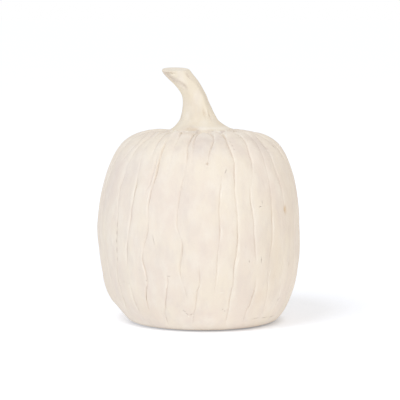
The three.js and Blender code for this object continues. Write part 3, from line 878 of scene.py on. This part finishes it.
class Shader:
    """A procedural material, put together from short calls. Sizes are in millimetres."""

    def __init__(self, name):
        self.material = bpy.data.materials.new(name)
        self.material.use_nodes = True
        self.nodes = self.material.node_tree.nodes
        self.links = self.material.node_tree.links
        self.surface = self.nodes["Principled BSDF"]
        self.place = self.add("ShaderNodeTexCoord").outputs["Object"]

    def join(self, value, socket):
        if isinstance(value, bpy.types.NodeSocket):
            self.links.new(value, socket)
        else:
            socket.default_value = value

    def add(self, kind, values=None, **settings):
        """A node, with each of its inputs set to a value or joined to a socket."""
        node = self.nodes.new(kind)
        for setting, choice in settings.items():
            setattr(node, setting, choice)
        for socket, value in (values or {}).items():
            self.join(value, node.inputs[socket])
        return node

    def spread(self, value, low, high, to_low=0.0, to_high=1.0):
        """The value's range from low to high, stretched to another range and cut off outside it."""
        limits = {"From Min": low, "From Max": high, "To Min": to_low, "To Max": to_high}
        return self.add("ShaderNodeMapRange", {"Value": value, **limits}).outputs["Result"]

    def noise(self, size, low=0.35, high=0.65, stretch=1.0, detail=3.0, shift=0.0):
        """Blotches of about this size, drawn out upwards by the stretch."""
        stretched = {"Scale": (1, 1, 1 / stretch), "Location": (shift, shift * 0.7, shift * 1.3)}
        scaled = self.add("ShaderNodeMapping", {"Vector": self.place, **stretched}).outputs["Vector"]
        values = {"Vector": scaled, "Scale": 1 / (size * MM), "Detail": detail}
        return self.spread(self.add("ShaderNodeTexNoise", values).outputs["Fac"], low, high)

    def strokes(self, table):
        """Small strokes on the body: 1 along the middle of each, falling to 0 at its edge."""
        total = 0.0
        for azimuth, height, half_width, half_length, lean in table:
            angle = math.radians(azimuth)
            radius = float(np.interp(height, SIDE_HEIGHTS, SIDE_RADII))
            middle = Vector((slump(height) + radius * math.sin(angle), -radius * math.cos(angle), height))
            values = {
                "Vector": self.place,
                "Location": middle * MM,
                "Rotation": (0, math.radians(lean), angle),
                "Scale": Vector((half_width, STROKE_REACH, half_length)) * MM,
            }
            turned = self.add("ShaderNodeMapping", values, vector_type="TEXTURE").outputs["Vector"]
            away = self.add("ShaderNodeVectorMath", {0: turned}, operation="LENGTH").outputs["Value"]
            total = self.calculate("ADD", total, self.spread(away, 0.2, 1, 1, 0))
        return total

    def attribute(self, name):
        return self.add("ShaderNodeAttribute", attribute_name=name).outputs["Fac"]

    def calculate(self, operation, a, b):
        return self.add("ShaderNodeMath", {0: a, 1: b}, operation=operation).outputs["Value"]

    def times(self, a, b):
        return self.calculate("MULTIPLY", a, b)

    def mix(self, share, a, b):
        a, b = ((*colour, 1) if isinstance(colour, tuple) else colour for colour in (a, b))
        return self.add("ShaderNodeMix", {0: share, 6: a, 7: b}, data_type="RGBA").outputs[2]

    def cover(self, colour, pattern, share, over):
        """The colour with another one over it, as strong as the pattern times its share."""
        return self.mix(self.times(pattern, share), colour, over)

    def bump(self, reliefs):
        """Fine relief: pairs of a pattern and its height in millimetres."""
        below = {}
        for pattern, height in reliefs:
            values = {"Strength": 1, "Distance": height * MM, "Height": pattern}
            below = {"Normal": self.add("ShaderNodeBump", {**values, **below}).outputs["Normal"]}
        self.join(below["Normal"], self.surface.inputs["Normal"])

    def finish(self, colour, roughness, specular):
        looks = {"Base Color": colour, "Roughness": roughness, "Specular IOR Level": specular}
        for socket, value in looks.items():
            self.join(value, self.surface.inputs[socket])
        return self.material


CREAM = (0.895, 0.818, 0.703)
STRAW = (0.885, 0.815, 0.67)
WHEAT = (0.85, 0.765, 0.63)
ROSE = (0.855, 0.765, 0.68)
PALE = (0.915, 0.855, 0.765)
# the pale colour of the painted highlights and the pale strokes
IVORY = (0.98, 0.93, 0.84)
PEACH = (0.8, 0.68, 0.55)
MAUVE = (0.72, 0.65, 0.61)
GREIGE = (0.56, 0.47, 0.4)
OCHRE = (0.72, 0.52, 0.3)
CLAY = (0.77, 0.66, 0.53)
SLIP = (0.93, 0.84, 0.7)
FELT = (0.72, 0.68, 0.6)
FELT_DARK = (0.66, 0.61, 0.54)
FLUFF = (0.8, 0.77, 0.7)
FILM = (0.85, 0.84, 0.78)
FILM_DARK = (0.8, 0.78, 0.7)

PALE_SHARE = 0.6  # how strongly each colour covers the coat under it
GREY_AND_SHADE_SHARE = 0.48
BLUSH_SHARE = 0.35
THIN_SHARE = 0.22
HIGHLIGHT_SHARE = 0.5
SPECK_SHARE = 0.12
SCRATCH_SHARE = 0.5
PALE_STROKE_SHARE = 0.65
STAIN_SHARE = 0.7
SCRATCH_DEPTH = 0.35


def coat_material(name, base, blotch, shade_share, scratches=(), pale_strokes=()):
    """Matte chalky engobe over clay, brushed on, with painted shade in the furrows and dents and painted
    highlights on raised edges.
    """
    coat = Shader(name)
    colour = coat.mix(coat.noise(17, stretch=2.2, shift=0.3), base, blotch)
    colour = coat.cover(colour, coat.noise(9, 0.45, 0.7, stretch=1.6, shift=0.9), PALE_SHARE, PALE)
    # greyer patches on the body, and painted shade on the stem
    greyed_and_shaded = coat.times(coat.attribute("grey_and_painted_shade"), coat.noise(5, 0.3, 0.65, stretch=2.5, shift=1.7))
    colour = coat.cover(colour, greyed_and_shaded, GREY_AND_SHADE_SHARE, MAUVE)
    colour = coat.cover(colour, coat.attribute("blush"), BLUSH_SHARE, PEACH)
    colour = coat.cover(colour, coat.noise(6, 0.5, 0.7, stretch=3, shift=2.9), THIN_SHARE, MAUVE)
    # painted shade in the furrows, the dents and the pits
    painted_shade = coat.times(coat.attribute("hollow"), coat.noise(2.5, 0.2, 0.6, stretch=2, shift=4.1))
    colour = coat.cover(colour, painted_shade, shade_share, GREIGE)
    # painted highlights on the burrs, the rib ends, and the stem's cut end and ridges
    colour = coat.cover(colour, coat.attribute("crest"), HIGHLIGHT_SHARE, IVORY)
    colour = coat.cover(colour, coat.noise(1.1, 0.66, 0.74, shift=5.3), SPECK_SHARE, GREIGE)
    reliefs = []
    if scratches:
        scratched = coat.strokes(scratches)
        colour = coat.cover(colour, scratched, SCRATCH_SHARE, GREIGE)
        reliefs.append((coat.times(scratched, -1.0), SCRATCH_DEPTH))
    if pale_strokes:
        colour = coat.cover(colour, coat.strokes(pale_strokes), PALE_STROKE_SHARE, IVORY)
    colour = coat.cover(colour, coat.attribute("stain"), STAIN_SHARE, OCHRE)
    colour = coat.mix(coat.attribute("bare"), colour, coat.mix(coat.noise(2, shift=6.1), CLAY, ROSE))
    daubs = coat.noise(6, 0.2, 0.8, stretch=1.5, shift=9.1)
    brushed = coat.noise(1.6, 0.2, 0.8, stretch=7, shift=8.3)
    grain = coat.noise(0.5, 0.2, 0.8, detail=4, shift=7.7)
    coat.bump(reliefs + [(daubs, 0.12), (brushed, 0.06), (grain, 0.05)])
    roughness = coat.spread(coat.noise(4, shift=3.3), 0, 1, 0.78, 0.92)
    return coat.finish(colour, roughness, specular=0.25)


def slip_material():
    slip = Shader("Fired slip")
    colour = slip.mix(slip.noise(7, shift=1.1), SLIP, ROSE)
    colour = slip.cover(colour, slip.noise(3.2, 0.5, 0.62, shift=2.3), 0.3, MAUVE)
    # pale patches on the slip, painted highlights where its bumps shade it
    colour = slip.cover(colour, slip.noise(4, 0.5, 0.6, shift=3.7), 0.8, IVORY)
    colour = slip.cover(colour, slip.attribute("stain"), 0.6, GREIGE)
    smears, grain = slip.noise(3.5, 0.2, 0.8, shift=4.9), slip.noise(0.5, 0.2, 0.8, shift=5.5)
    slip.bump([(smears, 0.12), (grain, 0.05)])
    return slip.finish(colour, slip.spread(slip.noise(3), 0, 1, 0.8, 0.92), specular=0.25)


def felt_material():
    felt = Shader("Pressed felt")
    colour = felt.mix(felt.noise(1.3, shift=0.4), FELT, FELT_DARK)
    colour = felt.cover(colour, felt.noise(0.25, 0.5, 0.7, shift=0.8), 0.5, FLUFF)
    lumps, fluff = felt.noise(0.9, 0.2, 0.8, shift=1.3), felt.noise(0.15, 0.2, 0.8, detail=6, shift=2.1)
    felt.bump([(lumps, 0.2), (fluff, 0.1)])
    felt.surface.inputs["Sheen Weight"].default_value = 0.3
    return felt.finish(colour, roughness=0.95, specular=0.1)


def adhesive_material():
    film = Shader("Adhesive film")
    colour = film.mix(film.noise(2.2, shift=0.7), FILM, FILM_DARK)
    film.bump([(film.noise(1.2, 0.2, 0.8, shift=1.9), 0.02)])
    film.surface.inputs["Transmission Weight"].default_value = 0.2
    return film.finish(colour, film.spread(film.noise(1.5, shift=3.1), 0, 1, 0.3, 0.45), specular=0.5)


def floor_material():
    floor = Shader("White floor")
    colour = floor.mix(floor.noise(300, shift=0.2), (0.91, 0.91, 0.91), (0.9, 0.9, 0.9))
    seen = floor.spread(floor.add("ShaderNodeLightPath").outputs["Is Camera Ray"], 0, 1, FLOOR_GLOW_SHARE, 1)
    places = {0: floor.place, 1: (FLOOR_CONTACT_SIDE, 0, 0)}
    away = floor.add("ShaderNodeVectorMath", places, operation="DISTANCE").outputs["Value"]
    strength = floor.times(seen, floor.spread(away, *FLOOR_GLOW_RAMP))
    # painted contact shadow: the glow is dimmed in a round under the foot
    strength = floor.times(strength, floor.spread(away, *FLOOR_CONTACT_SHADOW))
    floor.join(strength, floor.surface.inputs["Emission Strength"])
    floor.surface.inputs["Emission Color"].default_value = (*FLOOR_GLOW, 1)
    return floor.finish(colour, roughness=1.0, specular=0.0)


# ---- The studio ----

CAMERA = {"side": 1.3, "distance": 1400, "height": 229, "tilt": 5.7, "lens": 171.4}
FLOOR_GLOW = (0.268, 0.295, 0.34)  # keeps the floor white to the camera
FLOOR_GLOW_SHARE = 0.7  # how much of it lights the figure
FLOOR_GLOW_RAMP = (0.15, 0.9, 1, 1.55)  # near and far, in metres off the middle, and the strength at each
FLOOR_CONTACT_SHADOW = (0.05, 0.057, 0.5, 1)  # the same, for the painted contact shadow, a darker round under the foot
FLOOR_CONTACT_SIDE = (slump(FOOT_HEIGHT) + 6) * MM  # the middle of both
AMBIENT = (0.64, 0.612, 0.582)
KEY = {"name": "Key", "place": (-0.75, -1, 1.95), "size": 0.9, "power": 13.7, "colour": (0.91, 1, 1.14)}
FILL = {"name": "Fill", "place": (0.8, -1.55, 0.3), "size": 0.8, "power": 4, "colour": (1.1, 1, 0.85)}
FLOOR_SIZE = 80


def build_floor():
    mesh = bpy.data.meshes.new("Floor")
    half = FLOOR_SIZE / 2
    corners = [(-half, -half, 0), (half, -half, 0), (half, half, 0), (-half, half, 0)]
    mesh.from_pydata(corners, [], [(0, 1, 2, 3)])
    floor = bpy.data.objects.new("Floor", mesh)
    bpy.context.scene.collection.objects.link(floor)
    mesh.materials.append(floor_material())


def build_studio():
    scene = bpy.context.scene
    scene.view_settings.view_transform = "Standard"
    scene.view_settings.look = "None"
    world = bpy.data.worlds.new("White studio")
    world.use_nodes = True
    nodes, links = world.node_tree.nodes, world.node_tree.links
    around = nodes["Background"]
    around.inputs["Color"].default_value = (*AMBIENT, 1)
    seen = nodes.new("ShaderNodeBackground")
    seen.inputs["Color"].default_value = (1, 1, 1, 1)
    rays, shared = nodes.new("ShaderNodeLightPath"), nodes.new("ShaderNodeMixShader")
    links.new(rays.outputs["Is Camera Ray"], shared.inputs["Fac"])
    links.new(around.outputs["Background"], shared.inputs[1])
    links.new(seen.outputs["Background"], shared.inputs[2])
    links.new(shared.outputs["Shader"], nodes["World Output"].inputs["Surface"])
    scene.world = world

    for lamp in (KEY, FILL):
        light = bpy.data.lights.new(lamp["name"], "AREA")
        light.shape = "DISK"
        light.size = lamp["size"]
        light.energy = lamp["power"]
        light.color = lamp["colour"]
        softbox = bpy.data.objects.new(lamp["name"], light)
        softbox.location = lamp["place"]
        away = Vector(lamp["place"]) - Vector((0, 0, BODY_HIGH[2] / 2 * MM))
        softbox.rotation_euler = away.to_track_quat("Z", "Y").to_euler()
        scene.collection.objects.link(softbox)

    camera = bpy.data.objects.new("Camera", bpy.data.cameras.new("Camera"))
    camera.data.lens = CAMERA["lens"]
    camera.location = (CAMERA["side"] * MM, -CAMERA["distance"] * MM, CAMERA["height"] * MM)
    camera.rotation_euler = (math.radians(90 - CAMERA["tilt"]), 0, 0)
    scene.collection.objects.link(camera)
    scene.camera = camera


# ---- The figure, put together ----


def place(piece, node, material):
    piece.data.materials.append(material)
    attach(piece, "root")
    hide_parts(node)


body_coat = coat_material("Body engobe", CREAM, ROSE, 0.26, SCRATCHES, PALE_STROKES)
stem_coat = coat_material("Stem engobe", STRAW, WHEAT, 0.35)
place(build_body(), "body_shell", body_coat)
place(build_stem(), "stem", stem_coat)
place(build_lute(), "stem_lute", slip_material())

felt, adhesive = felt_material(), adhesive_material()
rng = np.random.default_rng(SEED + 4)
for corner in ("front_right", "back_right", "back_left", "front_left"):
    pad, film = f"felt_pad_{corner}", f"pad_adhesive_{corner}"
    place(build_disc(f"Felt_{corner}", pad, rng, **FELT_EDGE), pad, felt)
    place(build_disc(f"Adhesive_{corner}", film, rng, **FILM_EDGE), film, adhesive)

build_floor()
build_studio()
